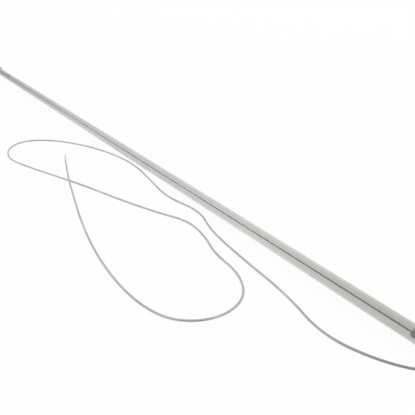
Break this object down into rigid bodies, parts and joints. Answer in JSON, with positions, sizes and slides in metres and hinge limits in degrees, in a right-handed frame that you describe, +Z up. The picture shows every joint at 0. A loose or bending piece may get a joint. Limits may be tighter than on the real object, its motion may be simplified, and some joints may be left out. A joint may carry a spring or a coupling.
{
  "type": "inoculating loop",
  "caption": "Glass needle holder with a core wire, collet chuck and knurled nut, holding one long, loosely looped bare wire.",
  "frame": {"origin": "middle of the holder's length (without the working wire), on the plane it lies on", "axes": "+X along the spindle towards the chuck, +Z up from the plane it lies on, +Y to the left of the chuck's direction"},
  "size_m": [0.3171, 0.036, 0.005],
  "materials": {
    "tube_glass": "thick-walled clear glass with faint drawn streaks, greyish through its depth",
    "core_steel": "fine dark oxidised steel wire, dull",
    "spring_steel": "plain drawn spring steel",
    "chuck_steel": "turned stainless steel, fine turning rings",
    "gasket_rubber": "soft black rubber",
    "ferrule_aluminium": "drawn aluminium sleeve, satin",
    "collet_brass": "turned brass",
    "nut_steel": "nickel-plated, satin with worn edges",
    "hub_brass": "turned brass",
    "wire_alloy": "bare drawn nickel-chromium wire, satin, lightly oxidised"
  },
  "bodies": {
    "holder": {"handle_tube": "tube_glass", "core_wire": "core_steel", "core_bead": "core_steel", "core_anchor": "core_steel", "tension_washer": "spring_steel", "chuck_body": "chuck_steel", "front_gasket": "gasket_rubber", "rear_gasket": "gasket_rubber", "front_ferrule": "ferrule_aluminium", "rear_ferrule": "ferrule_aluminium", "collet_spring": "spring_steel", "rear_plug": "chuck_steel", "rear_cap": "nut_steel"},
    "collet": {"collet": "collet_brass", "wire_hub": "hub_brass", "working_wire": "wire_alloy"},
    "chuck_nut": {"chuck_nut": "nut_steel"}
  },
  "joints": [
    {"name": "collet_travel", "type": "slide", "parent": "holder", "child": "collet", "axis": [1, 0, 0], "range_m": [0, 0.0005]},
    {"name": "nut_turn", "type": "hinge", "parent": "collet", "child": "chuck_nut", "pos_m": [0.13, 0, 0.0025], "axis": [-1, 0, 0], "range_deg": [0, 360]}
  ],
  "couplings": [
    {"joint": "nut_turn", "follows": "collet_travel", "rad_per_m": 12566}
  ]
}
